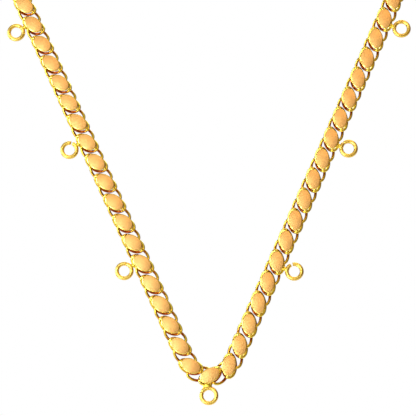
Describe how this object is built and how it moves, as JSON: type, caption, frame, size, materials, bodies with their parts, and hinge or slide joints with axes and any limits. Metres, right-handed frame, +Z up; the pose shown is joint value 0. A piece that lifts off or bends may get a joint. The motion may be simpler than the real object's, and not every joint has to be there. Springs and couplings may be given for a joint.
{
  "type": "coin chain necklace",
  "caption": "Gold-coloured necklace of slanting twisted curb links with satin oval plates and small open rings for coins, worn round the neck and closed by an S-shaped hook.",
  "frame": {"origin": "where the necklace hangs from the nape: the middle of the S-shaped hook", "axes": "+Z up, the wearer faces -Y, and +X is to the viewer's right; the strands meet at the front, low and forward of the origin"},
  "size_m": [0.1342, 0.1055, 0.1619],
  "materials": {
    "chain_gold": "polished gold-coloured wire of the links",
    "ring_gold": "polished gold-coloured wire of the coin rings, with paler solder",
    "plate_satin": "satin, finely grained face in a peach-coloured gold, with a bright burnished rim",
    "hook_gold": "polished gold-coloured wire"
  },
  "bodies": {
    "root": {"chain_left": "chain_gold", "chain_right": "chain_gold", "ring_link_bottom": "ring_gold", "ring_link_left_low": "ring_gold", "ring_link_left_mid": "ring_gold", "ring_link_left_high": "ring_gold", "ring_link_right_low": "ring_gold", "ring_link_right_mid": "ring_gold", "ring_link_right_high": "ring_gold", "clasp_hook": "hook_gold"}
  },
  "joints": []
}
